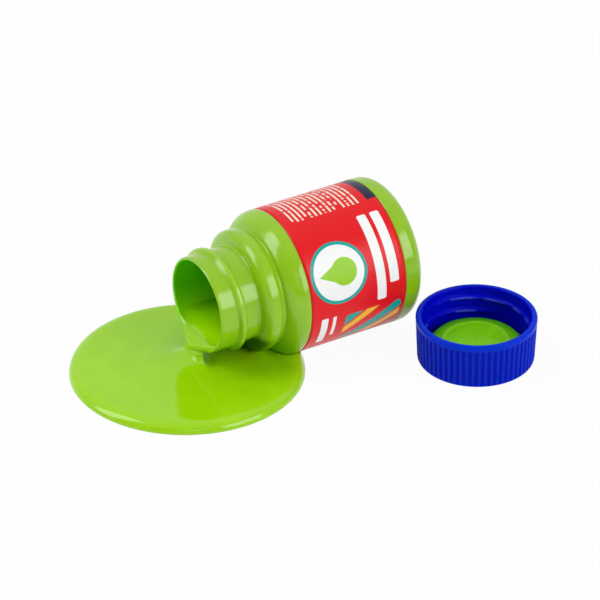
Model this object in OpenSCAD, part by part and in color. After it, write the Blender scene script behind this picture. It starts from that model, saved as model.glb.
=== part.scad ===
// Small screw-top paint jar lying on its side. Its paint runs out over the lip into a round pool,
// and its cap lies beside it with the open end up. +X runs from the mouth to the base, +Z is up
// and the table is at z = 0. Sizes are in millimetres.

/* [Jar] */
// Outside diameter of the body
body_d = 38; // [34:0.5:60]
// Length of the jar from the lip to the base
jar_len = 56; // [46:0.5:90]
// Wall thickness
wall = 0.9; // [0.6:0.05:1.3]
// Length of the shoulder's curve
shoulder_len = 4.7; // [4:0.1:9]
// Length of the full-diameter ring between the shoulder and the step down to the label's panel
land_len = 0.3; // [0.1:0.1:3]
// Depth of the label's panel below the body
panel_depth = 0.2; // [0.15:0.01:0.4]
// Length of the heel between the label's panel and the base
heel_len = 5.8; // [5:0.1:12]
// Radius of the rounded corner at the base
base_round = 3.5; // [2:0.1:4.5]
// Width of the flat ring that the jar stands on
foot_w = 2.5; // [1.5:0.1:6]
// How far the middle of the base is pushed up
pushup_h = 0.8; // [0.3:0.1:2]
// Radius of the small inside corners at the collar and the groove
fillet = 0.5; // [0.3:0.05:0.8]
// How much of a quarter turn the collar's and the shoulder's fronts curve through, in degrees
step_arc = 65; // [45:1:85]

/* [Neck] */
// Outside diameter of the neck
neck_d = 25; // [20:0.5:30]
// Length of the neck from the lip to the collar
neck_len = 11.4; // [8.5:0.1:16]
// How far the collar stands out from the neck
collar_h = 3.4; // [2.8:0.1:3.8]
// Length of the collar, up to the groove behind it
collar_len = 5.6; // [5.1:0.1:9]
// Length of the collar's rounded front
collar_front = 1.9; // [1.5:0.1:3.4]
// Length of the slope from the collar down into the groove
collar_back = 1.5; // [0.8:0.1:2]
// Depth of the groove behind the collar
groove_depth = 0.7; // [0.3:0.1:1.2]

/* [Thread] */
// Rise of the thread in one turn
pitch = 3.8; // [3.6:0.1:5]
// Height of the neck's thread
thread_h = 1.1; // [0.8:0.05:1.4]
// Width of a thread at its root
thread_root = 2.4; // [1.8:0.1:2.6]
// Width of a thread at its crest
thread_crest = 0.9; // [0.5:0.1:1.2]
// Distance from the lip to the start of the neck's thread
thread_start = 3.5; // [2.8:0.1:5]
// Distance from the end of the neck's thread to the collar
thread_end = 3.1; // [1.3:0.1:4]
// Angle of the thread's start round the neck, from the bottom
thread_turn = 28; // [0:1:359]
// Angle over which a thread fades into its wall at each end
thread_fade = 30; // [15:1:60]

/* [Label] */
// Thickness of the label
label_t = 0.12; // [0.06:0.01:0.14]
// Distance from the label's edges to the ends of its panel
label_margin = 0.1; // [0.05:0.05:2]
// Width of the open seam where the label's ends meet
seam_w = 1; // [0.3:0.1:4]
// Angle of the seam round the jar, from the top, turning away from the cap's side
seam_turn = 140; // [100:1:170]

/* [Cap] */
// Thickness of the skirt at the rim
cap_wall = 1.5; // [1.3:0.1:2.5]
// Thickness of the closed end
cap_end = 1.5; // [1:0.1:3]
// How much narrower the cap is at its closed end, on the radius
cap_draft = 0.5; // [0.1:0.05:0.7]
// Radius of the rounded edge of the closed end
cap_round = 0.8; // [0.6:0.1:1.5]
// Radius of the rounded edge of the rim
rim_round = 0.5; // [0.2:0.05:0.6]
// Height of the plain band at the rim
rim_band = 1.3; // [1:0.05:4]
// Number of grip ribs
ribs = 60; // [30:2:72]
// Depth of the grooves between the ribs
rib_depth = 0.35; // [0.15:0.05:0.4]
// Width of the grooves between the ribs
rib_groove = 0.95; // [0.5:0.05:1.2]
// Gap left between the rim and the collar when the cap is on
rim_gap = 1.4; // [0.5:0.1:3]
// Distance from the liner's flange to the start of the cap's thread
cap_thread_start = 2.8; // [2.2:0.1:4]
// Distance from the end of the cap's thread to the rim
cap_thread_end = 2.4; // [1.6:0.1:4]
// Angle of the start of the cap's thread, from +X
cap_thread_turn = 30; // [0:1:359]

/* [Liner] */
// Thickness of the liner's flange, which the lip presses on when the cap is on
flange_t = 0.8; // [0.5:0.1:1.4]
// Height of the liner with its plug, which then stands inside the jar's mouth
liner_h = 2.9; // [1.6:0.1:5]
// Thickness of the paint left on the liner
film_t = 0.6; // [0.4:0.1:1.5]
// Width of the bare border of the plug round that paint
film_border = 0.1; // [0.05:0.05:2]

/* [Paint] */
// Depth of the paint in the neck, above the bore's lowest line
fill_depth = 4.6; // [2:0.1:8]
// Diameter of the pool
pool_d = 59.6; // [40:0.2:90]
// Thickness of the pool
pool_t = 2.6; // [1.5:0.1:2.9]
// Width of the pool's rounded edge
pool_edge = 3.2; // [1.5:0.1:6]
// Distance from the lip to the pool's middle, along the jar
pool_x = -2.5; // [-12:0.1:4]
// Distance from the jar's axis to the pool's middle, across the jar
pool_y = 0.9; // [-6:0.1:6]
// Width of the stream where it meets the pool
stream_w = 18; // [10:0.5:22]
// How far the stream reaches out from the lip
stream_reach = 7; // [3:0.1:12]
// Distance inside the lip where the stream leaves the paint in the jar
stream_inset = 1.5; // [0.8:0.1:1.8]

/* [Layout] */
// How far the cap lies back past the jar's base
cap_back = 8.1; // [-40:0.1:9]
// How far the cap lies in past the jar's side
cap_in = 3.1; // [-40:0.1:4]

/* [Fits] */
// Gap between the neck's thread and the cap, and between the cap's thread and the neck
thread_clear = 0.3; // [0.2:0.05:0.5]
// Gap round the liner's flange
liner_clear = 0.4; // [0.3:0.05:0.8]
// Gap between the liner's plug and the jar's mouth when the cap is on
plug_clear = 0.2; // [0.1:0.05:0.6]
// Gap under the liner
seat_clear = 0.05; // [0.02:0.01:0.2]
// Gap between the paint and the jar
paint_clear = 0.1; // [0.05:0.05:0.3]
// Glue between the label and its panel
glue_t = 0.02; // [0.01:0.01:0.05]

/* [Hidden] */
$fn = 96;
arc_steps = 8;
thread_steps = 30;
// how deep a thread is rooted in its wall, and how deep its faded ends lie
thread_sink = 0.3;
fade_sink = 0.1;
// how far a cutter runs past what it cuts
past = 1;

body_r = body_d / 2;
panel_r = body_r - panel_depth;
inside_r = body_r - wall;
neck_r = neck_d / 2;
bore_r = neck_r - wall;
collar_r = neck_r + collar_h;
groove_r = collar_r - groove_depth;
foot_r = body_r - base_round;
pushup_r = foot_r - foot_w;

// the jar rests on its widest ring
axis_z = max(body_r, collar_r);
groove_x = neck_len + collar_len;
shoulder_x = groove_x + shoulder_len;
panel_x0 = shoulder_x + land_len + panel_depth;
panel_x1 = jar_len - heel_len;

cap_bore_r = neck_r + thread_h + thread_clear;
cap_rim_r = cap_bore_r + cap_wall;
cap_end_r = cap_rim_r - cap_draft;
cap_h = cap_end + flange_t + neck_len - rim_gap;
cap_thread_h = cap_bore_r - neck_r - thread_clear;
liner_r = cap_bore_r - liner_clear;
liner_z = cap_end + seat_clear;
plug_r = bore_r - plug_clear;
film_r = plug_r - film_border;
cap_x = jar_len + cap_rim_r - cap_back;
cap_y = -(body_r + cap_rim_r - cap_in);

level_z = axis_z - bore_r + fill_depth;
pool_r = pool_d / 2;

// the origin is under the middle of the whole group
x_low = pool_x - pool_r;
x_high = max(jar_len, cap_x + cap_rim_r);
y_low = min(pool_y - pool_r, -axis_z, cap_y - cap_rim_r);
y_high = max(pool_y + pool_r, axis_z);
origin = [(x_low + x_high) / 2, (y_low + y_high) / 2, 0];

// Points of an elliptical arc round (r, x), as [radius, distance along the axis]
function arc(r, x, size_r, size_x, from, to, first = 0) =
    [for (i = [first:arc_steps]) let (a = from + (to - from) * i / arc_steps)
        [r + size_r * cos(a), x + size_x * sin(a)]];

// An inside corner at (r0, x) that turns up to the slope on which a rounded step out to r1 starts
function step_out(r0, r1, x, len) =
    let (lean = atan((r1 - r0) / len * (1 + 1 / cos(step_arc))),
         r = r0 + fillet * (1 - cos(lean)),
         size_r = (r1 - r) / (1 - cos(step_arc)),
         size_x = (len + fillet * (1 - sin(lean))) / sin(step_arc))
    concat(
        arc(r0 + fillet, x - fillet, fillet, fillet, 180, 180 - lean),
        arc(r1 - size_r, x + len, size_r, size_x, -step_arc, 0, 1));

// A slope from r0 down to r1 that starts and ends along the axis, without its last point
function ease(r0, r1, x0, x1) =
    [for (i = [0:arc_steps - 1]) let (u = i / arc_steps)
        [r1 + (r0 - r1) * (1 + cos(180 * u)) / 2, x0 + (x1 - x0) * u]];

// The jar's outside from the tip of the lip to the foot ring, with its label's panel at a given radius
function outside_points(middle_r) = concat(
    arc(bore_r + wall / 2, wall / 2, wall / 2, wall / 2, -90, 0),
    step_out(neck_r, collar_r, neck_len, collar_front),
    ease(collar_r, groove_r, groove_x - fillet - collar_back, groove_x - fillet),
    step_out(groove_r, body_r, groove_x, shoulder_len),
    [[body_r, panel_x0 - panel_depth], [middle_r, panel_x0]],
    [[middle_r, panel_x1], [body_r, panel_x1 + panel_depth]],
    arc(foot_r, jar_len - base_round, base_round, base_round, 0, 90));

// The pushed-up base and the jar's inside, from the foot ring round to the lip
function base_points() = [
    [pushup_r, jar_len],
    [pushup_r - pushup_h, jar_len - pushup_h],
    [0, jar_len - pushup_h],
    [0, jar_len - pushup_h - wall],
    [pushup_r - pushup_h, jar_len - pushup_h - wall],
    [pushup_r, jar_len - wall]];

function inside_points() = concat(
    arc(foot_r, jar_len - base_round, base_round - wall, base_round - wall, 90, 0),
    arc(groove_r - wall, shoulder_x, inside_r - groove_r + wall, shoulder_len - wall, 0, -90),
    arc(bore_r, neck_len + wall + collar_front, groove_r - wall - bore_r, collar_front, 0, -90));

function lip_points() =
    [for (p = arc(bore_r + wall / 2, wall / 2, wall / 2, wall / 2, 180, 270)) if (p[1] > 0.001) p];

// Moves a shape from the jar's own place, with the lip at x = 0, to the group's origin
module placed() {
    translate(-origin) children();
}

// Lays a shape that stands on z along the jar's axis, with z = 0 at the lip
module along_jar() {
    translate([0, 0, axis_z]) rotate([0, 90, 0]) children();
}

module at_cap() {
    translate([cap_x, cap_y, 0]) children();
}

// The space that the jar takes up with its label on, with a gap round it
module jar_space(gap) {
    side = [for (p = outside_points(body_r)) [p[0] + gap, p[1]]];
    along_jar() rotate_extrude() polygon(concat([[0, 0]], side, [[0, jar_len]]));
}

// The space inside the jar behind the lip, less a gap
module jar_hollow(gap) {
    floor_x = jar_len - pushup_h - wall - gap;
    side = [for (p = inside_points()) [p[0] - gap, min(p[1], floor_x)]];
    along_jar() rotate_extrude() polygon(concat([[0, floor_x]], side, [[bore_r - gap, 0], [0, 0]]));
}

// A right-hand thread on a wall of radius wall_r, standing out by rise, or inwards if rise is below 0
module thread(wall_r, rise, start_z, turns, start_angle) {
    side = sign(rise);
    span = turns * 360;
    count = ceil(turns * thread_steps);
    root_r = wall_r - side * thread_sink;
    function height(a) =
        let (full = min(1, a / thread_fade, (span - a) / thread_fade))
        wall_r + rise * full - side * fade_sink * (1 - full);
    function section(tip_r) = side > 0
        ? [[root_r, -thread_root / 2], [tip_r, -thread_crest / 2],
           [tip_r, thread_crest / 2], [root_r, thread_root / 2]]
        : [[tip_r, -thread_crest / 2], [root_r, -thread_root / 2],
           [root_r, thread_root / 2], [tip_r, thread_crest / 2]];
    points = [for (i = [0:count]) let (a = span * i / count)
        for (p = section(height(a)))
            [p[0] * cos(start_angle + a), p[0] * sin(start_angle + a), start_z + pitch * a / 360 + p[1]]];
    sides = [for (i = [0:count - 1], k = [0:3])
        let (a = 4 * i + k, b = 4 * i + (k + 1) % 4)
        each [[a, b, b + 4], [a, b + 4, a + 4]]];
    ends = [[0, 3, 2], [0, 2, 1], [4 * count, 4 * count + 1, 4 * count + 2],
            [4 * count, 4 * count + 2, 4 * count + 3]];
    polyhedron(points, concat(sides, ends));
}

module jar_body() {
    section = concat(outside_points(panel_r), base_points(), inside_points(), lip_points());
    turns = (neck_len - thread_end - thread_start) / pitch;
    color("yellowgreen") placed() along_jar() {
        rotate_extrude() polygon(section);
        thread(neck_r, thread_h, thread_start, turns, thread_turn);
    }
}

module label() {
    low_r = panel_r + glue_t;
    len = panel_x1 - panel_x0 - 2 * label_margin;
    color("crimson") placed() along_jar() translate([0, 0, panel_x0 + label_margin]) difference() {
        cylinder(r = low_r + label_t, h = len);
        translate([0, 0, -past]) cylinder(r = low_r, h = len + 2 * past);
        rotate([0, 0, 180 - seam_turn]) translate([0, -seam_w / 2, -past])
            cube([body_r + past, seam_w, len + 2 * past]);
    }
}

module paint_in_jar() {
    color("olivedrab") placed() intersection() {
        jar_hollow(paint_clear);
        translate([stream_inset, -body_d, -past]) cube([jar_len, 2 * body_d, level_z + past]);
    }
}

// A tongue: its side view, an easy slope from the paint's level down to the pool, is cut to an arch across
module paint_stream() {
    slope = [for (p = ease(level_z, pool_t, stream_inset, -stream_reach)) [p[1], p[0]]];
    rise = level_z - pool_t;
    arch = [for (i = [0:2 * arc_steps]) let (a = 90 * i / arc_steps)
        [stream_w / 2 * cos(a), pool_t + rise * sin(a)]];
    color("limegreen") placed() difference() {
        intersection() {
            rotate([90, 0, 0]) linear_extrude(stream_w, center = true)
                polygon(concat(slope, [[-stream_reach, pool_t], [stream_inset, pool_t]]));
            translate([-stream_reach - past, 0, 0]) rotate([90, 0, 90])
                linear_extrude(stream_reach + stream_inset + 2 * past) polygon(arch);
        }
        along_jar() translate([0, 0, -paint_clear]) difference() {
            cylinder(r = neck_r + paint_clear, h = neck_len);
            translate([0, 0, -past]) cylinder(r = bore_r - paint_clear, h = neck_len + 2 * past);
        }
    }
}

module paint_pool() {
    side = arc(pool_r - pool_edge, 0, pool_edge, pool_t, 0, 90);
    color("greenyellow") placed() difference() {
        translate([pool_x, pool_y, 0]) rotate_extrude() polygon(concat([[0, 0]], side, [[0, pool_t]]));
        jar_space(paint_clear);
    }
}

// The grooves that leave the ribs between them, along the skirt's slope
module rib_grooves() {
    // radius of a circle that cuts to the groove's depth and width
    cut_r = (pow(rib_groove / 2, 2) + pow(rib_depth, 2)) / (2 * rib_depth);
    lean = atan(cap_draft / cap_h);
    for (i = [0:ribs - 1])
        rotate([0, 0, 360 * (i + 0.5) / ribs]) translate([cap_end_r + cut_r - rib_depth, 0, 0])
            rotate([0, lean, 0]) translate([0, 0, -past]) cylinder(r = cut_r, h = cap_h - rim_band + past);
}

module cap_shell() {
    section = concat(
        [[0, 0]],
        arc(cap_end_r - cap_round, cap_round, cap_round, cap_round, -90, 0),
        arc(cap_rim_r - rim_round, cap_h - rim_round, rim_round, rim_round, 0, 90),
        [[cap_bore_r + rim_round, cap_h], [cap_bore_r, cap_h - rim_round], [cap_bore_r, cap_end], [0, cap_end]]);
    low_z = cap_end + flange_t + cap_thread_start;
    turns = (cap_h - cap_thread_end - low_z) / pitch;
    color("mediumblue") placed() at_cap() {
        difference() {
            rotate_extrude() polygon(section);
            rib_grooves();
        }
        thread(cap_bore_r, -cap_thread_h, low_z, turns, cap_thread_turn);
    }
}

module cap_liner() {
    color("whitesmoke") placed() at_cap() translate([0, 0, liner_z]) {
        cylinder(r = liner_r, h = flange_t);
        cylinder(r = plug_r, h = liner_h);
    }
}

module cap_paint() {
    section = concat([[0, 0]], arc(film_r - film_t, 0, film_t, film_t, 0, 90), [[0, film_t]]);
    color("yellowgreen") placed() at_cap() translate([0, 0, liner_z + liner_h])
        rotate_extrude() polygon(section);
}

jar_body();
label();
paint_in_jar();
paint_stream();
paint_pool();
cap_shell();
cap_liner();
cap_paint();
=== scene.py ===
import math

import bpy
import numpy as np
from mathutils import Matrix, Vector


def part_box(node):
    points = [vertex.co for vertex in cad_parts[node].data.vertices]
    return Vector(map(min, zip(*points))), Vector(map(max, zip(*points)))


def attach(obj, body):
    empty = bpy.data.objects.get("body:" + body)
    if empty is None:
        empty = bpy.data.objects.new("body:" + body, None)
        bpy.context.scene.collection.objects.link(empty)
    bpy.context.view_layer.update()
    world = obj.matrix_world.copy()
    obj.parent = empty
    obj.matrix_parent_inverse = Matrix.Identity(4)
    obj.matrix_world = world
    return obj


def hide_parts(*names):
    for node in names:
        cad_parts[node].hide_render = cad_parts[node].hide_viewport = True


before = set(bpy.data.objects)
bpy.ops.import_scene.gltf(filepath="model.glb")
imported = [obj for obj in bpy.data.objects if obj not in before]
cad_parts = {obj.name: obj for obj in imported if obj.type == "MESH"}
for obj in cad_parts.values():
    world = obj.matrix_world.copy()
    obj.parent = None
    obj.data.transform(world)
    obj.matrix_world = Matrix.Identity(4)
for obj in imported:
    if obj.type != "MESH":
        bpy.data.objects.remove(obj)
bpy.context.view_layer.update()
mm = 0.001  # sizes below are in millimetres, meshes in metres
print("frame loaded:", ", ".join(sorted(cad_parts)))


# the box of a CAD node in millimetres: lowest and highest corner
def nodeBox(node):
    low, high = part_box(node)
    return np.array(low) / mm, np.array(high) / mm


jarLow, jarHigh = nodeBox("jar_body")
capLow, capHigh = nodeBox("cap_shell")
poolLow, poolHigh = nodeBox("paint_pool")
lipX = jarLow[0]                                  # the jar lies along X, mouth first
jarLen = jarHigh[0] - jarLow[0]
axisY = (jarLow[1] + jarHigh[1]) / 2
axisZ = (jarLow[2] + jarHigh[2]) / 2
capX = (capLow[0] + capHigh[0]) / 2
capY = (capLow[1] + capHigh[1]) / 2
capH = capHigh[2]
poolR = (poolHigh[1] - poolLow[1]) / 2
poolX = poolLow[0] + poolR - lipX                 # seen from the lip and the jar's axis
poolY = (poolLow[1] + poolHigh[1]) / 2 - axisY


# a smooth step: 0 below 0, 1 above 1, level at both ends
def ease(share):
    share = np.clip(share, 0, 1)
    return share * share * (3 - 2 * share)


# part of an ellipse: centre plus radii times the cosine and sine of the angle
def arc(centre, radii, start, end, count):
    turn = np.radians(np.linspace(start, end, count))
    return np.column_stack([centre[0] + radii[0] * np.cos(turn), centre[1] + radii[1] * np.sin(turn)])


# a straight run of points
def line(start, end, count):
    return np.linspace(np.array(start, float), np.array(end, float), count)


# a cosine slope: the first value grows evenly, the second leaves and arrives level
def slope(start, end, count):
    share = np.linspace(0, 1, count)[:, None]
    both = np.hstack([share, 0.5 - 0.5 * np.cos(np.pi * share)])
    return np.array(start, float) + both * (np.array(end, float) - np.array(start, float))


# runs end to end as one profile, without the points that repeat
def joined(*runs):
    points = np.vstack(runs)
    keep = np.concatenate([[True], np.linalg.norm(np.diff(points, axis=0), axis=1) > 1e-4])
    return points[keep]


# A grid of points (rows, columns, xyz in mm) becomes a mesh: each cell is one quad, columns wrap round,
# and the first and last row close on a pole. The signed volume tells which way the faces have to wind.
def gridPiece(name, grid, firstPole, lastPole, uv=None, values=None):
    rows, columns = grid.shape[:2]
    index = np.arange(rows * columns).reshape(rows, columns)
    after = np.roll(index, -1, axis=1)
    quads = np.stack([index[:-1], after[:-1], after[1:], index[1:]], axis=-1).reshape(-1, 4)
    first, last = rows * columns, rows * columns + 1
    startFan = np.stack([np.full(columns, first), after[0], index[0]], axis=-1)
    endFan = np.stack([np.full(columns, last), index[-1], after[-1]], axis=-1)
    points = np.vstack([grid.reshape(-1, 3), firstPole, lastPole]) * mm
    triangles = np.vstack([quads[:, :3], quads[:, [0, 2, 3]], startFan, endFan])
    a, b, c = (points[triangles[:, k]] for k in range(3))
    if np.einsum("ij,ij->i", a, np.cross(b, c)).sum() < 0:
        quads, startFan, endFan = quads[:, ::-1], startFan[:, ::-1], endFan[:, ::-1]
    mesh = bpy.data.meshes.new(name)
    mesh.from_pydata(points.tolist(), [], quads.tolist() + startFan.tolist() + endFan.tolist())
    mesh.polygons.foreach_set("use_smooth", np.ones(len(mesh.polygons), bool))
    for key, field in (values or {}).items():
        field = np.broadcast_to(field, (rows, columns))
        flat = np.concatenate([field.ravel(), [field[0].mean(), field[-1].mean()]])
        mesh.attributes.new(key, "FLOAT", "POINT").data.foreach_set("value", flat.astype(np.float32))
    if uv is not None:
        flat = np.vstack([uv.reshape(-1, 2), uv[0].mean(axis=0), uv[-1].mean(axis=0)])
        corner = np.empty(len(mesh.loops), np.int32)
        mesh.loops.foreach_get("vertex_index", corner)
        mesh.uv_layers.new(name="wrap").data.foreach_set("uv", flat[corner].astype(np.float32).ravel())
    mesh.update()
    piece = bpy.data.objects.new(name, mesh)
    bpy.context.scene.collection.objects.link(piece)
    print("made", name, len(triangles), "triangles")
    return piece


# A thread: the crest climbs one pitch a turn from its start; the height falls off with a smooth step on
# both flanks and fades at both ends.
def threadRidge(along, turn, thread):
    travel = (turn - thread["turn"]) % 360
    span = 360 * thread["turns"]
    height = np.zeros(np.broadcast(along, turn).shape)
    for lap in (0, 360):
        crest = thread["start"] + thread["pitch"] * (travel + lap) / 360
        flank = (thread["root"] / 2 - np.abs(along - crest)) / ((thread["root"] - thread["crest"]) / 2)
        ends = ease((travel + lap) / thread["fade"]) * ease((span - travel - lap) / thread["fade"])
        height = np.maximum(height, ease(flank) * ends)
    return thread["height"] * height


# one socket that takes part in sums: every operator adds a Math node and gives back its output
class Wire:
    def __init__(self, tree, socket):
        self.tree, self.socket = tree, socket

    # any node: settings go in first, then the values or links of its sockets
    def node(self, kind, settings=None, inputs=None, output=0):
        made = self.tree.nodes.new(kind)
        for key, value in (settings or {}).items():
            setattr(made, key, value)
        for key, value in (inputs or {}).items():
            if isinstance(value, Wire):
                self.tree.links.new(value.socket, made.inputs[key])
            else:
                made.inputs[key].default_value = value
        return Wire(self.tree, made.outputs[output]) if len(made.outputs) else None

    # one Math node on the given values, held between 0 and 1 where clamp is set
    def sum(self, operation, *values, clamp=False):
        return self.node("ShaderNodeMath", {"operation": operation, "use_clamp": clamp},
                         dict(enumerate(values)))

    def __add__(self, other):
        return self.sum("ADD", self, other)

    def __radd__(self, other):
        return self.sum("ADD", other, self)

    def __sub__(self, other):
        return self.sum("SUBTRACT", self, other)

    def __rsub__(self, other):
        return self.sum("SUBTRACT", other, self)

    def __mul__(self, other):
        return self.sum("MULTIPLY", self, other)

    def __rmul__(self, other):
        return self.sum("MULTIPLY", other, self)

    def __truediv__(self, other):
        return self.sum("DIVIDE", self, other)

    def __abs__(self):
        return self.sum("ABSOLUTE", self)

    def most(self, other):
        return self.sum("MAXIMUM", self, other)

    def least(self, other):
        return self.sum("MINIMUM", self, other)

    def root(self):
        return self.sum("SQRT", self)

    def floor(self):
        return self.sum("FLOOR", self)

    def fraction(self):
        return self.sum("FRACT", self)

    def clip(self):
        return self.sum("ADD", self, 0.0, clamp=True)

    # two colours mixed by this value
    def mix(self, first, second):
        return self.node("ShaderNodeMix", {"data_type": "RGBA"}, {0: self, 6: first, 7: second}, 2)

    # a noise value on these coordinates
    def noise(self, scale, detail=2.0, rough=0.5, twist=0.0):
        return self.node("ShaderNodeTexNoise", None, {"Vector": self, "Scale": scale, "Detail": detail,
                                                      "Roughness": rough, "Distortion": twist})

    # one float attribute of the mesh
    def attribute(self, name):
        return self.node("ShaderNodeAttribute", {"attribute_name": name}, output="Fac")


# a new material and a wire to its Object coordinates
def newFinish(name):
    material = bpy.data.materials.new(name)
    material.use_nodes = True
    material.node_tree.nodes.clear()
    return material, Wire(material.node_tree, None).node("ShaderNodeTexCoord", output="Object")


# the surface shader: fixed numbers sit on its own sockets, wires feed those that change over the surface
def surface(wire, fixed, colour, roughness, height, relief):
    bump = wire.node("ShaderNodeBump", None, {"Strength": 1.0, "Distance": relief * mm, "Height": height})
    shader = wire.node("ShaderNodeBsdfPrincipled", None,
                       dict(fixed, **{"Base Color": colour, "Roughness": roughness, "Normal": bump}))
    wire.node("ShaderNodeOutputMaterial", None, {"Surface": shader})


# gives a piece its finish and its place in the frame
def settle(piece, material, body, slotName, *nodes):
    piece.data.materials.append(material)
    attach(piece, body)
    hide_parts(*nodes)


# the jar: a blow-moulded bottle turned on its axis, with the thread raised on its neck
jar = dict(wall=0.9, neckR=12.5, neckLen=11.4, neckRows=62, lipR=0.45, lipRows=17, fillet=0.5, stepArc=65,
           collarR=15.9, collarLen=5.6, collarFront=1.9, collarBack=1.5, grooveR=15.2,
           shoulderLen=4.7, bodyR=19.0, panelR=18.8, panelStart=22.2, panelEnd=50.2, panelEdge=0.15,
           baseRound=3.5, footR=15.5, pushupR=13.0, pushupRun=1.6, pushup=0.8, columns=288,
           # inside, the bore widens from flareStart to flareEnd behind the neck, and again near the panel
           flareStart=0.6, flareEnd=3.1, bodyStart=0.8, bodyEnd=0.2,
           thread=dict(turn=28, turns=1.263, start=3.5, pitch=3.8, root=2.6, crest=0.8, height=1.1, fade=30))


# A rounded step from a high radius down to a low one: part of an ellipse, then the inside corner that
# meets it on the slope where it starts.
def stepIn(j, low, high, x, length):
    part, fillet = math.radians(j["stepArc"]), j["fillet"]
    lean = math.atan((high - low) / length * (1 + 1 / math.cos(part)))
    sizeR = (high - low - fillet * (1 - math.cos(lean))) / (1 - math.cos(part))
    sizeX = (length + fillet * (1 - math.sin(lean))) / math.sin(part)
    return joined(arc((x + length, high - sizeR), (sizeX, sizeR), 90, 90 + j["stepArc"], 22),
                  arc((x - fillet, low + fillet), (fillet, fillet), math.degrees(lean) - 90, -90, 9))


# Outer half of the section, from the base to the lip, as (distance from the lip, radius): push-up, foot ring,
# round corner, wall with a sunk label panel, quarter-ellipse shoulder, groove, rounded collar, straight neck.
def jarOutside(j):
    fillet, grooveX = j["fillet"], j["neckLen"] + j["collarLen"]
    inset, edge = jarLen - j["pushup"], j["panelEdge"]
    rise = slope((j["pushupR"] - j["pushupRun"], inset), (j["pushupR"], jarLen), 9)[:, ::-1]
    base = joined(line((inset, 1), rise[0], 6), rise, line(rise[-1], (jarLen, j["footR"]), 4),
                  arc((jarLen - j["baseRound"], j["footR"]),
                      (j["baseRound"], j["bodyR"] - j["footR"]), 0, 90, 16))
    wall = joined(line(base[-1], (j["panelEnd"] + edge, j["bodyR"]), 5),
                  slope((j["panelEnd"] + edge, j["bodyR"]), (j["panelEnd"] - edge, j["panelR"]), 6),
                  line((j["panelEnd"] - edge, j["panelR"]), (j["panelStart"] + edge, j["panelR"]), 16),
                  slope((j["panelStart"] + edge, j["panelR"]), (j["panelStart"] - edge, j["bodyR"]), 6))
    low = grooveX - fillet
    shoulder = joined(stepIn(j, j["grooveR"], j["bodyR"], grooveX, j["shoulderLen"]),
                      slope((low, j["grooveR"]), (low - j["collarBack"], j["collarR"]), 12),
                      stepIn(j, j["neckR"], j["collarR"], j["neckLen"], j["collarFront"]))
    neck = line((j["neckLen"] - fillet, j["neckR"]), (j["lipR"], j["neckR"]), j["neckRows"])
    return joined(base, wall, shoulder, neck)


# Inner half, from the lip to the base: one wall inside the outer half, with softer steps.
def jarInside(j):
    bore, body = j["neckR"] - j["wall"], j["bodyR"] - j["wall"]
    collar, endX = j["grooveR"] - j["wall"], jarLen - j["wall"]
    floorR = j["baseRound"] - j["wall"]
    flareStart, flareEnd = j["neckLen"] + j["flareStart"], j["neckLen"] + j["flareEnd"]
    bodyStart, bodyEnd = j["neckLen"] + j["collarLen"] + j["bodyStart"], j["panelStart"] + j["bodyEnd"]
    lip = arc((j["lipR"], j["neckR"] - j["lipR"]), (j["lipR"], j["lipR"]), 90, 270, j["lipRows"])
    rise = slope((j["pushupR"], endX), (j["pushupR"] - j["pushupRun"], endX - j["pushup"]), 7)[:, ::-1]
    return joined(lip, line(lip[-1], (flareStart, bore), 12),
                  slope((flareStart, bore), (flareEnd, collar), 10),
                  slope((bodyStart, collar), (bodyEnd, body), 14),
                  line((bodyEnd, body), (endX - floorR, body), 12),
                  arc((endX - floorR, body - floorR), (floorR, floorR), 90, 0, 10),
                  rise, line(rise[-1], (rise[-1][0], 1), 5))


outer, inner = jarOutside(jar), jarInside(jar)
lipHalf = jar["lipRows"] // 2                     # the inner half of the lip starts here


# A point of the jar: x along the axis from the lip, the angle counted from the bottom towards +Y.
def roundJar(x, radius, angle):
    x, radius, angle = np.broadcast_arrays(x, radius, np.radians(angle))
    return np.stack([lipX + x, axisY + radius * np.sin(angle), axisZ - radius * np.cos(angle)], axis=-1)


# The whole section is turned about the axis, and the thread is added to the neck's radius.
def makeJar():
    section = joined(outer, inner)
    angle = np.linspace(0, 360, jar["columns"], endpoint=False)[None, :]
    x, radius = section[:, :1], section[:, 1:]
    onNeck = np.zeros((len(section), 1))
    onNeck[len(outer) - jar["neckRows"]:len(outer)] = 1
    ridge = threadRidge(x, angle, jar["thread"]) * onNeck
    within = (np.arange(len(section)) >= len(outer) + lipHalf)[:, None] * 1.0
    return gridPiece("jarShell", roundJar(x, radius + ridge, angle),
                     roundJar(section[0, 0], 0, 0), roundJar(section[-1, 0], 0, 0),
                     values=dict(within=within, raised=ridge / jar["thread"]["height"]))


# moulded plastic: two close greens in broad clouds and a faint grain, paler on the raised thread as a painted
# highlight; inside, a deeper green that is bright where paint wets it, partly painted light; paint smeared
# low on neck and shoulder, its darker green partly painted shade; painted shade as dark green in the crevice
# under the collar
jarLook = dict(deep=(0.238, 0.478, 0.003, 1), light=(0.285, 0.535, 0.008, 1), inside=(0.095, 0.590, 0.000, 1),
               wettedAndLit=(0.320, 0.860, 0.001, 1), wetLitFrom=12.5, wetLitTo=18.0,
               raised=(0.310, 0.575, 0.020, 1), raisedSheenShare=0.5,
               smearAndShade=(0.140, 0.420, 0.001, 1), smearAndShadeTop=12.5, smearAndShadeRun=6.0, smearAndShadeWave=3.0,
               smearAndShadeEnd=-2.5, smearAndShadeFade=1.5,
               creviceShade=(0.006, 0.085, 0.000, 1), creviceShadeX=-1.2, creviceShadeRun=4.8, creviceShadeFull=1.6,
               creviceShadeTop=12.6, creviceShadeFade=2.2, creviceShadeWave=1.5,
               cloud=95, cloudFrom=0.3, cloudGain=2.2, grain=900,
               gloss=0.16, glossChange=0.08, grainChange=0.06, relief=0.008)


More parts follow.
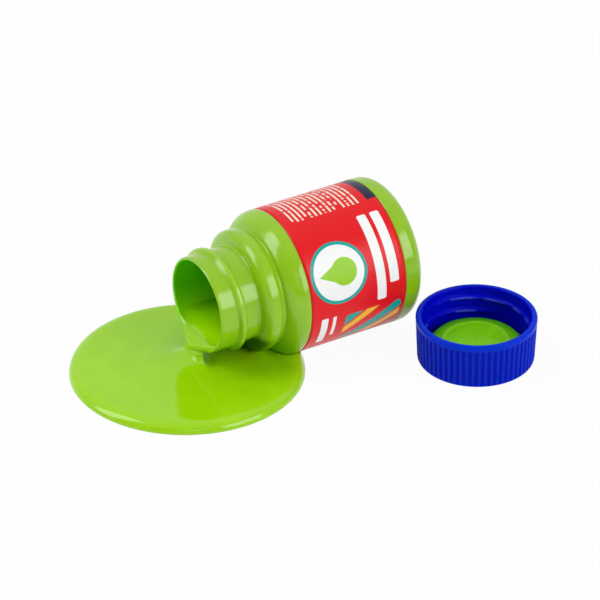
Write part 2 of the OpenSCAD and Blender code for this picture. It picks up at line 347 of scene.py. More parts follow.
# A run of masks mixes the colours: each is a height or a distance along the jar less its limit, over the
# width of its soft edge, clipped to 0 and 1.
def jarFinish(look):
    material, place = newFinish("jarPlastic")
    cloud = place.noise(look["cloud"], 3, 0.55)
    grain = place.noise(look["grain"], 2, 0.6)
    along = place.node("ShaderNodeSeparateXYZ", None, {0: place}, 0) * (1 / mm)
    height = place.node("ShaderNodeSeparateXYZ", None, {0: place}, 2) * (1 / mm)
    colour = ((cloud - look["cloudFrom"]) * look["cloudGain"]).clip().mix(look["deep"], look["light"])
    # a painted highlight: the raised thread is a paler green
    colour = (place.attribute("raised") * look["raisedSheenShare"]).mix(colour, look["raised"])
    # paint smeared low on the neck and shoulder, its darker green partly painted shade beneath the jar
    low = ((look["smearAndShadeTop"] + look["smearAndShadeWave"] * (cloud - 0.5) - height) / look["smearAndShadeRun"]).clip()
    ahead = ((look["smearAndShadeEnd"] - along) / look["smearAndShadeFade"]).clip()
    colour = (low * ahead).mix(colour, look["smearAndShade"])
    # painted shade: a dark green in the crevice where the neck meets the collar, low down by the pool
    away = abs(along - (lipX + jar["neckLen"] + look["creviceShadeX"])) / look["creviceShadeRun"]
    beside = (look["creviceShadeFull"] * (1.0 - away)).clip()
    sunk = ((look["creviceShadeTop"] + look["creviceShadeWave"] * (cloud - 0.5) - height) / look["creviceShadeFade"]).clip()
    colour = (beside * sunk).mix(colour, look["creviceShade"])
    # inside, the wall by the paint is wet and painted lighter there as painted light; higher up, the deeper
    # inside green
    dry = ((height - look["wetLitFrom"]) / (look["wetLitTo"] - look["wetLitFrom"])).clip()
    colour = place.attribute("within").mix(colour, dry.mix(look["wettedAndLit"], look["inside"]))
    rough = look["gloss"] + look["glossChange"] * (cloud - 0.5) + look["grainChange"] * (grain - 0.5)
    surface(place, {"IOR": 1.5}, colour, rough, grain * 0.5 + cloud, look["relief"])
    return material


jarPiece = makeJar()
settle(jarPiece, jarFinish(jarLook), "jar", "jar_plastic", "jar_body")


# the label: a printed film round the sunk panel, its ends a little apart
label = dict(start=22.3, end=50.1, radius=18.82, thick=0.12, seam=40, seamGap=3.0, columns=420, rows=30)


# The film's thin section (x, radius) is carried round the axis from one side of the seam to the other.
def makeLabel():
    x0, x1, r0, r1 = label["start"], label["end"], label["radius"], label["radius"] + label["thick"]
    section = np.vstack([line((x0, r1), (x1, r1), label["rows"]), line((x1, r0), (x0, r0), label["rows"])])
    angle = np.linspace(label["seam"] + label["seamGap"] / 2, label["seam"] + 360 - label["seamGap"] / 2,
                        label["columns"])[:, None]
    grid = roundJar(section[None, :, 0], section[None, :, 1], angle)
    share = (section[:, 0] - x0) / (x1 - x0)
    uv = np.stack(np.broadcast_arrays((angle - angle[0]) / (angle[-1] - angle[0]), share[None, :]), axis=-1)
    return gridPiece("wrapLabel", grid, grid[0].mean(axis=0), grid[-1].mean(axis=0), uv=uv)


# Plain shapes in the label's own millimetres: a runs round from the top towards the front, v from the
# mouth side. A box is (centre a, centre v, half a, half v, corner).
labelLook = dict(
    ground=(0.730, 0.006, 0.010, 1), white=(0.86, 0.87, 0.86, 1), cream=(0.86, 0.70, 0.58, 1),
    navy=(0.008, 0.010, 0.045, 1), teal=(0.004, 0.36, 0.32, 1), yellow=(0.93, 0.50, 0.022, 1),
    green=(0.285, 0.580, 0.012, 1), grey=(0.45, 0.45, 0.46, 1),
    faded=(0.670, 0.005, 0.009, 1), fadedShare=0.25, haze=140, grain=1600,
    disc=(21, 9.1, 8.1, 8.1, 8.1), ring=(21, 9.1, 7.2, 7.2, 7.2), dropRound=(21, 10.6, 3.6, 3.6, 3.6),
    dropTip=3.4, dropSpread=0.50, dropJoin=9.2,
    whiteBars=[(20.0, 20.6, 11.6, 1.3, 0.5), (18.0, 24.4, 9.6, 1.3, 0.5), (37.0, 4.0, 4.6, 1.0, 0.4),
               (36.0, 6.9, 3.4, 0.5, 0.2)],
    navyBox=(-4.3, 26.4, 8.6, 1.4, 0.3),
    # slanted stripes: each pair takes stripePitch, and the shares of it say where a colour starts and ends
    stripeBox=(38.8, 18.4, 5.4, 8.2, 1.2), stripePitch=10.2, stripeLean=0.7, stripeSharp=60.0,
    tealEnd=0.34, yellowStart=0.40, yellowEnd=0.66,
    printBoxes=[(-2.4, 13.0, 7.0, 10.2, 0.1), (58, 13.9, 8.5, 9.5, 0.1)],
    backBox=(-30.5, 13.9, 12.5, 10.5, 1.0), backPrint=(-30.5, 13.9, 10.5, 8.5, 0.1),
    printPitch=1.35, strokeHalf=0.22, strokeRun=0.9, rowJump=5.7, gapLevel=0.40, gapSharp=30.0,
    soft=0.07, gloss=0.34, glossChange=0.10, grainChange=0.05, relief=0.012)


# a mask that is 1 inside a round-cornered box: half the soft edge less the distance to the box, clipped
def roundBox(a, v, box, soft):
    outA = abs(a - box[0]) - (box[2] - box[4])
    outV = abs(v - box[1]) - (box[3] - box[4])
    overA, overV = outA.most(0.0), outV.most(0.0)
    away = (overA * overA + overV * overV).root() + outA.most(outV).least(0.0) - box[4]
    return (0.5 - away / soft).clip()


# rows of plain strokes in a box: a stroke takes two fifths of each row, gaps fall where a coarse noise is low
def strokes(place, a, v, box, look):
    pitch, soft = look["printPitch"], look["soft"]
    row = v / pitch
    band = (0.5 + (look["strokeHalf"] - abs(row.fraction() - 0.5)) * pitch / soft).clip()
    spot = place.node("ShaderNodeCombineXYZ", None,
                      {0: a * look["strokeRun"], 1: row.floor() * look["rowJump"]})
    gaps = ((spot.noise(1.0, 1.0) - look["gapLevel"]) * look["gapSharp"]).clip()
    return band * gaps * roundBox(a, v, box, soft)


# The wrap's own coordinates become millimetres, and plain shapes are laid over each other as masks: a disc
# with a drop (a circle and a wedge whose width grows with v), bars, slanted stripes and rows of strokes.
def labelFinish(look):
    material, place = newFinish("labelFilm")
    wrap = place.node("ShaderNodeUVMap", {"uv_map": "wrap"})
    u = place.node("ShaderNodeSeparateXYZ", None, {0: wrap}, 0)
    v = place.node("ShaderNodeSeparateXYZ", None, {0: wrap}, 1)
    perDegree = math.radians(1) * (label["radius"] + label["thick"])
    a = u * ((360 - label["seamGap"]) * perDegree) + (label["seam"] + label["seamGap"] / 2 - 180) * perDegree
    v = v * (label["end"] - label["start"])
    soft = look["soft"]
    haze = place.noise(look["haze"], 2)
    grain = place.noise(look["grain"], 2, 0.6)
    colour = (haze * look["fadedShare"]).mix(look["ground"], look["faded"])
    colour = roundBox(a, v, look["disc"], soft).mix(colour, look["teal"])
    colour = roundBox(a, v, look["ring"], soft).mix(colour, look["white"])
    tip = (0.5 + ((v - look["dropTip"]) * look["dropSpread"] - abs(a - look["dropRound"][0])) / soft).clip()
    tip = tip * (0.5 + (look["dropJoin"] - v) / soft).clip()
    colour = tip.most(roundBox(a, v, look["dropRound"], soft)).mix(colour, look["green"])
    for bar in look["whiteBars"]:
        colour = roundBox(a, v, bar, soft).mix(colour, look["white"])
    colour = roundBox(a, v, look["navyBox"], soft).mix(colour, look["navy"])
    for box in look["printBoxes"]:
        colour = strokes(place, a, v, box, look).mix(colour, look["cream"])
    onStripes = roundBox(a, v, look["stripeBox"], soft)
    band = ((a + v * look["stripeLean"]) / look["stripePitch"]).fraction()
    teal = ((look["tealEnd"] - band) * look["stripeSharp"]).clip()
    colour = (onStripes * teal).mix(colour, look["teal"])
    yellow = ((band - look["yellowStart"]) * look["stripeSharp"]).clip()
    yellow = yellow * ((look["yellowEnd"] - band) * look["stripeSharp"]).clip()
    colour = (onStripes * yellow).mix(colour, look["yellow"])
    colour = roundBox(a, v, look["backBox"], soft).mix(colour, look["white"])
    colour = strokes(place, a, v, look["backPrint"], look).mix(colour, look["grey"])
    rough = look["gloss"] + look["glossChange"] * (haze - 0.5) + look["grainChange"] * (grain - 0.5)
    surface(place, {"IOR": 1.5, "Specular IOR Level": 0.25}, colour, rough,
            grain + haze * 0.6, look["relief"])
    return material


labelPiece = makeLabel()
settle(labelPiece, labelFinish(labelLook), "jar", "label_film", "label")


# the paint: one skin from the pool inside the jar, over the lip, down the stream and out into the puddle
paint = dict(level=11.4, gap=0.06, dipRun=4.6, columns=208, flowRows=128,
             climb=1.3, climbRun=1.6, climbLoss=0.3, lipClimbEnd=105, lean=1.25,
             # loops inside the jar: (from x, to x, how many)
             loopRuns=[(54.2, 51, 8), (49, 25, 12), (24, 9, 26), (8.4, 0.6, 20)],
             # the roll over the lip: an ellipse with its top at the level, rollRun long and rollDrop deep
             rollStart=6.0, rollRun=8.0, rollDrop=5.2,
             # round the lip, in degrees and mm: (turn about it, near edge, far edge, middle's x and height)
             lip=[(0, 51, 51, 0.25, 9.85), (50, 50, 45, -0.6, 9.05), (95, 46, 38, -1.25, 8.15),
                  (140, 32, 33, -1.65, 7.05), (180, 18, 28, -1.75, 6.1)],
             # the fall: (centre x and y, half x and y, height in front, height elsewhere, rise of its edges)
             fall=[(-0.35, 1.0, 1.4, 4.0, 5.6, 5.6, 0.9), (-0.4, 1.0, 1.6, 4.1, 5.0, 4.8, 0.5),
                   (-0.5, 1.0, 2.2, 4.5, 4.45, 3.9, 0.2), (-0.8, 1.0, 3.4, 5.6, 3.95, 3.3, 0),
                   (-1.2, 1.0, 5.6, 7.6, 3.45, 2.98, 0), (-1.9, 1.0, 9.0, 11.2, 3.05, 2.82, 0),
                   (-2.4, 0.95, 13.2, 15.6, 2.83, 2.75, 0)],
             tuck=0.55, slimBack=0.45,
             # the puddle: its nearly level rings, then its rim by the angle of a superellipse
             thick=2.6, dome=0.12, domeR=26, levelRings=(19.5, 22, 24.4),
             edge=3.6, fullness=2.2, rimTurns=(90, 72, 56, 42, 30, 19, 9, 0), footIn=0.25,
             # under the jar: its climb up the shoulder, its rise to the collar, and how clear it stays
             meniscus=2.4, meniscusRun=2.0, meniscusX=11, meniscusFade=4, creepFrom=1.2,
             mound=1.1, moundX=12.0, moundRun=6.5, moundWide=7.0,
             underGap=0.05, underFrom=0.3, underLeast=0.02, settleBelow=4.4,
             # the paint in the jar, above heldAbove: painted light from the lip inwards, painted shade
             # further in
             heldAbove=6, litRun=2.0, dimAlong=0.5, dimAcross=0.86, dimRun=14.0)


# the free surface is the first half of a loop, near edge to far edge, and the wetted side the second
flowShare = np.linspace(0, 2, paint["columns"], endpoint=False)
onTop = flowShare <= 1
topShare = np.clip(flowShare, 0, 1)
backShare = np.clip(flowShare - 1, 0, 1)
loopAngle = np.radians(270 - 180 * flowShare)     # near, front, far, back as seen from above


# A loop against a round wall: the wetted half follows the wall from the far edge to the near one. The
# free half is the chord between the two edges, which sinks quickly by the climb at its ends and is drawn
# to a given middle.
def walledLoop(x, radius, near, far, middleX, middleZ, climb):
    turn = np.radians(far - (far + near) * backShare)
    wet = np.stack([np.full_like(turn, x), radius * np.sin(turn), axisZ - radius * np.cos(turn)], axis=-1)
    ends = np.radians([-near, far])
    edge = np.stack([np.full(2, x), radius * np.sin(ends), axisZ - radius * np.cos(ends)], axis=-1)
    free = edge[0] + (edge[1] - edge[0]) * topShare[:, None]
    away = np.minimum(topShare, 1 - topShare) * np.linalg.norm(edge[1] - edge[0])
    free[:, 2] -= climb * (1 - np.exp(-away / paint["climbRun"]))
    middle = np.sin(np.pi * topShare ** paint["lean"])
    fullest = 0.5 ** (1 / paint["lean"])              # the share where the sine is 1, towards the far side
    lowest = edge[0, 2] + (edge[1, 2] - edge[0, 2]) * fullest - climb
    free = free + middle[:, None] * np.array([middleX - x, 0, middleZ - lowest])
    return np.where(onTop[:, None], free, wet)


# Smooth run through key loops: cubic pieces whose slope at a loop is the weighted mean of the chords
# beside it.
def throughLoops(loops, count):
    gaps = np.sqrt(np.linalg.norm(np.diff(loops, axis=0), axis=2).mean(axis=1))
    place = np.concatenate([[0], np.cumsum(gaps)])
    wide = gaps[:, None, None]
    chord = np.diff(loops, axis=0) / wide
    between = (chord[:-1] * wide[1:] + chord[1:] * wide[:-1]) / (wide[1:] + wide[:-1])
    tangent = np.concatenate([chord[:1], between, chord[-1:]])
    at = np.linspace(0, place[-1], count)
    k = np.clip(np.searchsorted(place, at, side="right") - 1, 0, len(gaps) - 1)
    s = ((at - place[k]) / gaps[k])[:, None, None]
    return ((1 + 2 * s) * (1 - s) ** 2 * loops[k] + s * (1 - s) ** 2 * wide[k] * tangent[k]
            + s * s * (3 - 2 * s) * loops[k + 1] + s * s * (s - 1) * wide[k] * tangent[k + 1])


# the puddle as rings: a low dome, then the rim, a superellipse from the flat top down to the table
def puddleRings(p):
    turn = np.radians(p["rimTurns"])
    power = 2 / p["fullness"]
    level = np.array(p["levelRings"])
    dome = p["thick"] + p["dome"] * (1 - (level / p["domeR"]) ** 2)
    rimR = poolR - p["edge"] + p["edge"] * np.cos(turn) ** power
    rimZ = p["thick"] * np.sin(turn) ** power
    radius = np.concatenate([level, rimR, [poolR - p["footIn"]]])
    height = np.concatenate([dome, rimZ, [0]])
    return [np.stack([poolX + r * np.cos(loopAngle), poolY + r * np.sin(loopAngle),
                      np.full_like(loopAngle, h)], axis=-1) for r, h in zip(radius, np.maximum(height, 0))]


# Keeps the paint under the jar. It climbs the shoulder by an exponential of the distance to the wall and
# rises to the collar as a bell curve, and where the jar is above it, it stays below the jar's underside.
def underJar(points, p):
    x, y, z = points[..., 0], points[..., 1], points[..., 2]
    order = np.argsort(outer[:, 0])
    wallR = np.interp(x, outer[order, 0], outer[order, 1], left=0.0)
    wrapped = (x > label["start"]) & (x < label["end"])
    wallR = np.where(wrapped, label["radius"] + label["thick"], wallR)
    away = np.maximum(np.hypot(y, axisZ - p["thick"]) - wallR, 0)
    climb = p["meniscus"] * np.exp(-away / p["meniscusRun"]) * ease((x - p["meniscusX"]) / p["meniscusFade"])
    rise = p["mound"] * np.exp(-((x - p["moundX"]) / p["moundRun"]) ** 2 - (y / p["moundWide"]) ** 2)
    lifted = z + (climb + rise) * ease((z - p["creepFrom"]) / p["creepFrom"])
    under = axisZ - np.sqrt(np.maximum(wallR ** 2 - y ** 2, 0)) - p["underGap"]
    covered = (np.abs(y) < wallR) & (x > p["underFrom"])
    z = np.where(covered, np.minimum(lifted, np.maximum(under, p["underLeast"])), lifted)
    return np.stack([x, y, z], axis=-1)


# One grid of loops: level loops inside the jar that follow its wall and roll over the lip as part of an
# ellipse, loops turned about the lip, ellipses that widen down the fall, and the puddle's rings, with a
# smooth run through the last ones.
def makePaint(p):
    x = np.concatenate([np.linspace(*run) for run in p["loopRuns"]])
    wall = inner[lipHalf:np.argmax(inner[:, 0]) + 1]  # from the lip to the end of the base's round corner
    radius = np.interp(x, wall[:, 0], wall[:, 1]) - p["gap"]
    dip = ease((p["dipRun"] - x) / p["dipRun"])
    climb = p["climb"] * (1 - p["climbLoss"] * dip)
    flat = np.degrees(np.arccos((axisZ - p["level"] - climb) / radius))
    near = flat + dip * (p["lip"][0][1] - flat)
    far = flat + dip * (p["lip"][0][2] - flat)
    rolled = np.clip((p["rollStart"] - x) / p["rollRun"], 0, 1)
    middleZ = p["level"] - p["rollDrop"] * (1 - np.sqrt(1 - rolled ** 2))
    inJar = np.stack([walledLoop(*values) for values in zip(x, radius, near, far, x, middleZ, climb)])
    keys = list(inJar[-2:])
    lipMid, lipOut = jar["neckR"] - jar["lipR"], jar["lipR"] + p["gap"]
    for turn, nearEdge, farEdge, middleX, middleZ in p["lip"]:
        lipTurn = math.radians(turn)
        lipClimb = p["climb"] * (1 - p["climbLoss"]) * max(1 - turn / p["lipClimbEnd"], 0)
        keys.append(walledLoop(jar["lipR"] - lipOut * math.sin(lipTurn), lipMid - lipOut * math.cos(lipTurn),
                               nearEdge, farEdge, middleX, middleZ, lipClimb))
    ahead, behind = ease(-np.cos(loopAngle)), ease(np.cos(loopAngle))
    for midX, midY, halfX, halfY, front, height, rise in p["fall"]:
        reach = halfX * (1 - p["slimBack"] * behind)
        z = height + (front - height) * ahead - p["tuck"] * (height - p["thick"]) * behind
        loop = np.stack([midX + reach * np.cos(loopAngle), midY + halfY * np.sin(loopAngle),
                         z + rise * np.sin(loopAngle) ** 2], axis=-1)
        keys.append(underJar(loop, p))
    keys += puddleRings(p)
    flowing = throughLoops(np.stack(keys), p["flowRows"])
    low = flowing[:, :, 2].mean(axis=1) < p["settleBelow"]
    flowing[low] = underJar(flowing[low], p)
    flowing[..., 2] = np.maximum(flowing[..., 2], 0)
    grid = np.concatenate([inJar[:-2], flowing])
    held = grid[..., 2] > p["heldAbove"]
    inward = p["dimAlong"] * grid[..., 0] + p["dimAcross"] * grid[..., 1]
    # painted light: the paint in the jar is lighter from the lip inwards; painted shade: darker further in
    # towards the far wall
    shares = dict(inJar=ease(grid[..., 0] / p["litRun"]) * held, depth=ease(inward / p["dimRun"]) * held)
    offset = np.array([lipX, axisY, 0])
    return gridPiece("pouredPaint", grid + offset, inJar[0].mean(axis=0) + offset,
                     np.array([poolX, poolY, 0]) + offset, values=shares)


# wet paint: one strong green with slow swirls, high gloss that changes a little, a calm surface; the lit and
# dim greens are painted light and painted shade in the jar, and the rim green is painted shade at the edge of
# the film in the cap
paintLook = dict(deep=(0.292, 0.600, 0.001, 1), light=(0.328, 0.640, 0.002, 1), lit=(0.380, 0.760, 0.001, 1),
                 dim=(0.200, 0.600, 0.000, 1), rim=(0.020, 0.330, 0.000, 1), filmShadeShare=0.8, filmShadeWave=0.9,
                 swirl=70, twist=1.6, swirlFrom=0.3, swirlGain=2.4, ripple=55,
                 gloss=0.11, glossChange=0.05, relief=0.03, shine=0.45)


# The swirl, a twisted noise, mixes two greens. The mesh's own shares then mix in the lit and the dim green in
# the jar, which are painted light and painted shade, and the dark green of painted shade at the edge of the
# film in the cap.
def paintFinish(name, look):
    material, place = newFinish(name)
    swirl = place.noise(look["swirl"], 3, 0.5, look["twist"])
    ripple = place.noise(look["ripple"], 1, 0.4)
    colour = ((swirl - look["swirlFrom"]) * look["swirlGain"]).clip().mix(look["deep"], look["light"])
    # painted light and painted shade on the paint in the jar
    colour = place.attribute("inJar").mix(colour, look["lit"])
    colour = place.attribute("depth").mix(colour, look["dim"])
    # painted shade: a dark green at the film's edge in the cap, strongest towards the back
    thin = (place.attribute("rim") * (look["filmShadeShare"] + look["filmShadeWave"] * (swirl - 0.5))).clip()
    colour = thin.mix(colour, look["rim"])
    rough = look["gloss"] + look["glossChange"] * (swirl - 0.5)
    surface(place, {"IOR": 1.48, "Specular IOR Level": look["shine"]}, colour, rough, ripple, look["relief"])
    return material


paintPiece = makePaint(paint)
settle(paintPiece, paintFinish("wetPaint", paintLook), "jar", "wet_paint",
       "paint_in_jar", "paint_stream", "paint_pool")


# the cap: a ribbed skirt with a smooth rim, a thread inside, lying on its closed end
cap = dict(endR=14.9, rimR=15.4, boreR=13.9, end=1.5, round=0.8, rimRound=0.5, rimRows=8, rimInside=6,
           corner=0.4, step=0.1, hub=1, rimBand=1.3, ribs=60, perRib=10, ribDepth=0.38, ribFade=0.35,
           ribFoot=0.15, ribRise=0.9, crestSharp=8,
           thread=dict(turn=30, turns=1.263, start=5.1, pitch=3.8, root=1.8, crest=0.3, height=0.7, fade=30))


# a point of the cap: height above the table, the angle counted from +X about the cap's axis
def roundCap(height, radius, angle):
    height, radius, angle = np.broadcast_arrays(height, radius, np.radians(angle))
    return np.stack([capX + radius * np.cos(angle), capY + radius * np.sin(angle), height], axis=-1)


# Section as (radius, height) turned about the cap's axis; the ribs are a cosine in the angle that sinks
# the skirt between them, and the thread is a ridge that narrows the bore.
def makeCap(c):
    skirtTop, rimZ = capH - c["rimBand"], capH - c["rimRound"]
    lean = (c["rimR"] - c["endR"]) / (capH - c["round"])
    bandR = c["rimR"] - lean * c["rimBand"]
    rimCorner, endCorner = (c["rimRound"], c["rimRound"]), (c["round"], c["round"])
    cornerTop = c["end"] + c["corner"]
    outside = joined(line((c["hub"], 0), (c["endR"] - c["round"], 0), 6),
                     arc((c["endR"] - c["round"], c["round"]), endCorner, -90, 0, 10),
                     line((c["endR"], c["round"]), (bandR, skirtTop), 22),
                     line((bandR, skirtTop), (c["rimR"], rimZ), 4),
                     arc((c["rimR"] - c["rimRound"], rimZ), rimCorner, 0, 90, c["rimRows"]),
                     arc((c["boreR"] + c["rimRound"], rimZ), rimCorner, 90, 180, c["rimRows"]))
    inside = joined(line((c["boreR"], rimZ - c["step"]), (c["boreR"], cornerTop), 52),
                    arc((c["boreR"] - c["corner"], cornerTop), (c["corner"], c["corner"]), 0, -90, 5),
                    line((c["boreR"] - c["corner"] - c["step"], c["end"]), (c["hub"], c["end"]), 6))
    radius = np.concatenate([outside[:, 0], inside[:, 0]])[:, None]
    height = np.concatenate([outside[:, 1], inside[:, 1]])[:, None]
    within = (np.arange(len(radius)) >= len(outside) - c["rimInside"])[:, None] * 1.0
    angle = np.linspace(0, 360, c["ribs"] * c["perRib"], endpoint=False)[None, :]
    skirt = (1 - within) * ease((height - c["ribFoot"]) / c["ribRise"])
    skirt = skirt * ease((skirtTop - height) / c["ribFade"])
    valley = (0.5 - 0.5 * np.cos(np.radians(angle * c["ribs"]))) * skirt
    ridge = threadRidge(height, angle, c["thread"]) * within * (height > cornerTop + c["step"])
    crest = (ridge / c["thread"]["height"]) ** c["crestSharp"]
    return gridPiece("screwCap", roundCap(height, radius - c["ribDepth"] * valley - ridge, angle),
                     roundCap(0, 0, 0), roundCap(c["end"], 0, 0),
                     values=dict(within=within, valley=valley, crest=crest))


# moulded plastic: a strong blue, lighter on the ribs as a painted highlight and darker in the grooves as
# painted shade, a brighter blue inside as painted light, faint flow clouds and grain
capLook = dict(deep=(0.000, 0.013, 0.480, 1), light=(0.000, 0.017, 0.530, 1), ribSheen=(0.000, 0.036, 0.620, 1),
               valley=(0.000, 0.005, 0.360, 1), inside=(0.000, 0.001, 0.560, 1),
               crest=(0.060, 0.090, 0.760, 1), wearAndSheen=260, wearAndSheenFrom=0.42, wearAndSheenGain=6.0,
               ribSheenLevel=0.5, ribSheenGain=1.2, valleyShadeShare=0.85, cloud=120, cloudFrom=0.3, cloudGain=2.2,
               grain=1100, gloss=0.30, glossChange=0.12, grainChange=0.06, relief=0.006)


# Clouds mix two blues. The share of each valley between the ribs makes the ribs lighter and the grooves
# darker, a painted highlight and painted shade, and the thread's crest is paler in patches, where a noise is
# high, partly wear and partly a painted highlight.
def capFinish(look):
    material, place = newFinish("capPlastic")
    cloud = place.noise(look["cloud"], 3, 0.55, 0.4)
    grain = place.noise(look["grain"], 2, 0.6)
    valley = place.attribute("valley")
    colour = ((cloud - look["cloudFrom"]) * look["cloudGain"]).clip().mix(look["deep"], look["light"])
    # painted highlight on the ribs and painted shade in the grooves between them
    colour = ((look["ribSheenLevel"] - valley) * look["ribSheenGain"]).clip().mix(colour, look["ribSheen"])
    colour = (valley * look["valleyShadeShare"]).mix(colour, look["valley"])
    # painted light: a brighter blue inside the cap
    colour = place.attribute("within").mix(colour, look["inside"])
    # partly wear and partly a painted highlight: the thread's crest is paler in patches
    wearAndSheen = ((place.noise(look["wearAndSheen"], 2, 0.5) - look["wearAndSheenFrom"]) * look["wearAndSheenGain"]).clip()
    colour = (place.attribute("crest") * wearAndSheen).mix(colour, look["crest"])
    rough = look["gloss"] + look["glossChange"] * (cloud - 0.5) + look["grainChange"] * (grain - 0.5)
    surface(place, {"IOR": 1.5, "Specular IOR Level": 0.05}, colour, rough,
            grain * 0.6 + cloud, look["relief"])
    return material


capPiece = makeCap(cap)
settle(capPiece, capFinish(capLook), "cap", "cap_plastic", "cap_shell")


# the liner in the cap: a flange that the lip presses on and a plug that goes into the mouth
liner = dict(flangeR=13.5, plugR=11.4, bottom=1.55, flangeTop=2.35, top=4.45, round=0.25, hub=1, columns=160)


# A stepped disc turned about the cap's axis: flat faces and straight sides joined by quarter circles.
def makeLiner(d):
    wide, slim, soft = d["flangeR"] - d["round"], d["plugR"] - d["round"], d["round"]
    section = joined(line((d["hub"], d["bottom"]), (wide, d["bottom"]), 8),
                     arc((wide, d["bottom"] + soft), (soft, soft), -90, 0, 6),
                     arc((wide, d["flangeTop"] - soft), (soft, soft), 0, 90, 6),
                     arc((d["plugR"] + soft, d["flangeTop"] + soft), (soft, soft), 270, 180, 6),
                     arc((slim, d["top"] - soft), (soft, soft), 0, 90, 6),
                     line((slim, d["top"]), (d["hub"], d["top"]), 8))
    angle = np.linspace(0, 360, d["columns"], endpoint=False)[None, :]
    return gridPiece("capLiner", roundCap(section[:, 1:], section[:, :1], angle),
                     roundCap(d["bottom"], 0, 0), roundCap(d["top"], 0, 0))


# pale soft plastic with a fine grain, stained green in patches by the paint
linerLook = dict(pale=(0.74, 0.76, 0.70, 1), stain=(0.040, 0.270, 0.002, 1), patch=240, patchFrom=0.16,
                 patchGain=4.0, runTop=3.9, runFade=0.9, runWave=3.0, cells=2600,
                 gloss=0.62, glossChange=0.2, relief=0.03)


# The stain is the greater of two masks: patches where a noise is high, and the run below the paint, which
# is the height less its limit over its soft edge.
def linerFinish(look):
    material, place = newFinish("linerPlastic")
    cells = place.node("ShaderNodeTexVoronoi", {"feature": "F1"},
                       {"Vector": place, "Scale": look["cells"]}, "Distance")
    patch = place.noise(look["patch"], 3, 0.6)
    height = place.node("ShaderNodeSeparateXYZ", None, {0: place}, 2) * (1 / mm)
    run = ((height - look["runTop"] + look["runWave"] * (patch - 0.5)) / look["runFade"] + 1.0).clip()
    stained = ((patch - look["patchFrom"]) * look["patchGain"]).clip().most(run)
    rough = look["gloss"] + look["glossChange"] * (patch - 0.5)
    surface(place, {"IOR": 1.45}, stained.mix(look["pale"], look["stain"]), rough, cells, look["relief"])
    return material


linerPiece = makeLiner(liner)
settle(linerPiece, linerFinish(linerLook), "cap_liner", "liner_foam", "cap_liner")


# the paint left in the cap: a wet film with the ring that the jar's lip pressed into it
film = dict(radius=11.38, bottom=4.45, top=4.82, first=0.04, columns=240, rows=60,
            # the outline waves: (share of the wave, how many round, where they start)
            wave=0.04, waves=[(0.3, 3, 0.6), (0.2, 7, 0)], edge=0.7, fullness=2.4, foot=0.5,
            ring=0.20, ringR=8.4, ringWide=0.55, ringUneven=0.5, ringTurn=0.9, ringShift=0.5, shiftTurn=0.4,
            swirl=0.05, swirlTwist=0.75, swirlRun=4, swirlEnd=10.5, swirlFade=3,
            # painted shade at the edge: from which share of the radius, over what run, how weak at least,
            # strongest where
            filmShadeFrom=0.74, filmShadeRun=0.22, filmShadeLeast=0.15, filmShadeTurn=59, filmShadeSpread=0.6)


# Height over radius and angle: a flat top, a ring that is strongest on one side, slow swirls, and a round
# edge whose outline waves a little.
def makeFilm(f):
    angle = np.linspace(0, 360, f["columns"], endpoint=False)[None, :]
    turn = np.radians(angle)
    share = np.linspace(f["first"], 1, f["rows"])[:, None]
    sway = sum(size * np.sin(count * turn + begin) for size, count, begin in f["waves"])
    reach = f["radius"] - f["wave"] * (0.5 + sway)
    radius = share * reach
    fromRing = radius - f["ringR"] - f["ringShift"] * np.sin(turn + f["shiftTurn"])
    ring = f["ring"] * (1 + f["ringUneven"] * np.cos(turn - f["ringTurn"]))
    ring = ring * np.exp(-(fromRing / f["ringWide"]) ** 2)
    swirl = f["swirl"] * np.sin(2 * turn + f["swirlTwist"] * radius)
    swirl = swirl * ease(radius / f["swirlRun"]) * ease((f["swirlEnd"] - radius) / f["swirlFade"])
    inEdge = np.clip((radius - reach + f["edge"]) / f["edge"], 0, 1)
    body = np.sqrt(np.maximum(1 - inEdge ** f["fullness"], 0))
    top = f["bottom"] + (f["top"] - f["bottom"] + ring + swirl) * body
    grid = roundCap(top, radius, angle)
    below = roundCap(f["bottom"], reach * f["foot"], angle)
    # painted shade at the film's edge, strongest on one side of the cap
    thin = ease(0.5 + f["filmShadeSpread"] * np.cos(turn - math.radians(f["filmShadeTurn"])))
    rim = ease((share - f["filmShadeFrom"]) / f["filmShadeRun"]) * (f["filmShadeLeast"] + (1 - f["filmShadeLeast"]) * thin)
    return gridPiece("capPaintFilm", np.concatenate([grid, below]),
                     grid[0].mean(axis=0), roundCap(f["bottom"], 0, 0),
                     values=dict(rim=np.concatenate([rim, np.ones_like(turn)])))


filmPiece = makeFilm(film)
filmLook = dict(paintLook, deep=(0.160, 0.570, 0.000, 1), light=(0.230, 0.660, 0.000, 1),
                swirl=110, relief=0.10, ripple=120, shine=0.10)
settle(filmPiece, paintFinish("filmPaint", filmLook), "cap_liner", "wet_paint", "cap_paint")
print("pieces made and finished")


# the table and the room: sizes in metres, and how much each direction adds to the light that reflections see
studio = dict(floor=(0.86, 0.86, 0.86, 1), side=2.5, drop=2e-5, showWhite=0.95, ambient=0.66,
              front=0.22, behind=0.68, level=0.35, alongX=0.34, alongY=0.55, alongZ=0.5)


# 1 for rays straight from the camera, for reflected ones and for those through glass
def rayKinds(wire):
    return [wire.node("ShaderNodeLightPath", output=kind)
            for kind in ("Is Camera Ray", "Is Glossy Ray", "Is Transmission Ray")]


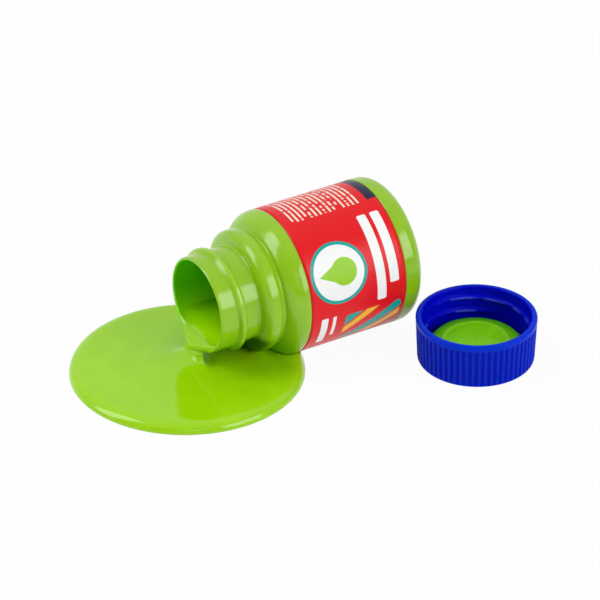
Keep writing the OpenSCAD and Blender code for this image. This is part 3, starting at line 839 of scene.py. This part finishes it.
# A flat square just under the object. It shows as plain white to the camera and in reflections, and still
# takes shadow: white light mixed over a matt floor by the kind of ray.
def makeFloor(s):
    side, drop = s["side"], s["drop"]
    corners = [(-side, -side, -drop), (side, -side, -drop), (side, side, -drop), (-side, side, -drop)]
    mesh = bpy.data.meshes.new("table")
    mesh.from_pydata(corners, [], [(0, 1, 2, 3)])
    table = bpy.data.objects.new("table", mesh)
    bpy.context.scene.collection.objects.link(table)
    material, place = newFinish("tableWhite")
    direct, glossy, through = rayKinds(place)
    seen = direct.most(glossy).most(through)
    matt = place.node("ShaderNodeBsdfDiffuse", None, {"Color": s["floor"]})
    white = place.node("ShaderNodeEmission", None, {"Color": (1, 1, 1, 1), "Strength": 1.0})
    both = place.node("ShaderNodeMixShader", None, {0: seen * s["showWhite"], 1: matt, 2: white})
    place.node("ShaderNodeOutputMaterial", None, {"Surface": both})
    mesh.materials.append(material)


# White surroundings for the camera and a softer level for the light they give. Reflections see a room
# that is dark in front and grows lighter upwards and behind: the direction's share along back and up,
# clipped, sets the level.
def makeWorld(s):
    world = bpy.data.worlds.new("studio")
    bpy.context.scene.world = world
    world.use_nodes = True
    world.node_tree.nodes.clear()
    path = Wire(world.node_tree, None)
    way = path.node("ShaderNodeTexCoord", output="Generated")
    x, y, z = (path.node("ShaderNodeSeparateXYZ", None, {0: way}, k) for k in range(3))
    share = (s["level"] + s["alongX"] * x + s["alongY"] * y + s["alongZ"] * z).clip()
    room = s["front"] + s["behind"] * share
    direct, glossy, through = rayKinds(path)
    strength = (room * (s["ambient"] + glossy * (1 - s["ambient"]))).most(direct).most(through)
    back = path.node("ShaderNodeBackground", None, {"Color": (1, 1, 1, 1), "Strength": strength})
    path.node("ShaderNodeOutputWorld", None, {"Surface": back})


# a soft rectangular lamp: placed by azimuth, elevation and distance round the object, facing it
def softLamp(name, azimuth, elevation, distance, size, power, mirrored):
    lamp = bpy.data.lights.new(name, "AREA")
    lamp.shape, lamp.size, lamp.size_y = "RECTANGLE", size[0], size[1]
    lamp.energy = power
    holder = bpy.data.objects.new(name, lamp)
    bpy.context.scene.collection.objects.link(holder)
    a, e = math.radians(azimuth), math.radians(elevation)
    way = Vector((math.sin(a) * math.cos(e), -math.cos(a) * math.cos(e), math.sin(e)))
    holder.location = way * distance
    holder.rotation_euler = way.to_track_quat("Z", "Y").to_euler()
    holder.visible_glossy = mirrored


# name, azimuth, elevation, distance, size, power, seen in reflections
lamps = [("leftBox", -113, 37, 0.9, (0.36, 0.90), 4.7, True),
         ("rightBox", 22, 25, 0.9, (0.60, 0.56), 4.5, True),
         ("frontBox", -26, 26, 0.9, (0.40, 0.36), 0.4, True),
         ("topBox", 150, 78, 0.9, (0.7, 0.7), 0.9, False)]

# the camera stands where the photograph was taken from: a long lens, looking down on the table
camera = dict(place=(-553.64, -915.65, 676.62), target=(16.211, 23.135, 0), lens=300, sensor=36, far=20)


# the camera's axis is the line from its place to the target
def makeCamera(c):
    data = bpy.data.cameras.new("camera")
    data.lens, data.sensor_width, data.clip_end = c["lens"], c["sensor"], c["far"]
    holder = bpy.data.objects.new("camera", data)
    bpy.context.scene.collection.objects.link(holder)
    place, target = Vector(c["place"]) * mm, Vector(c["target"]) * mm
    holder.location = place
    holder.rotation_euler = (place - target).to_track_quat("Z", "Y").to_euler()
    bpy.context.scene.camera = holder


makeFloor(studio)
makeWorld(studio)
for values in lamps:
    softLamp(*values)
makeCamera(camera)
bpy.context.scene.view_settings.view_transform = "Standard"
print("table, light and camera set")
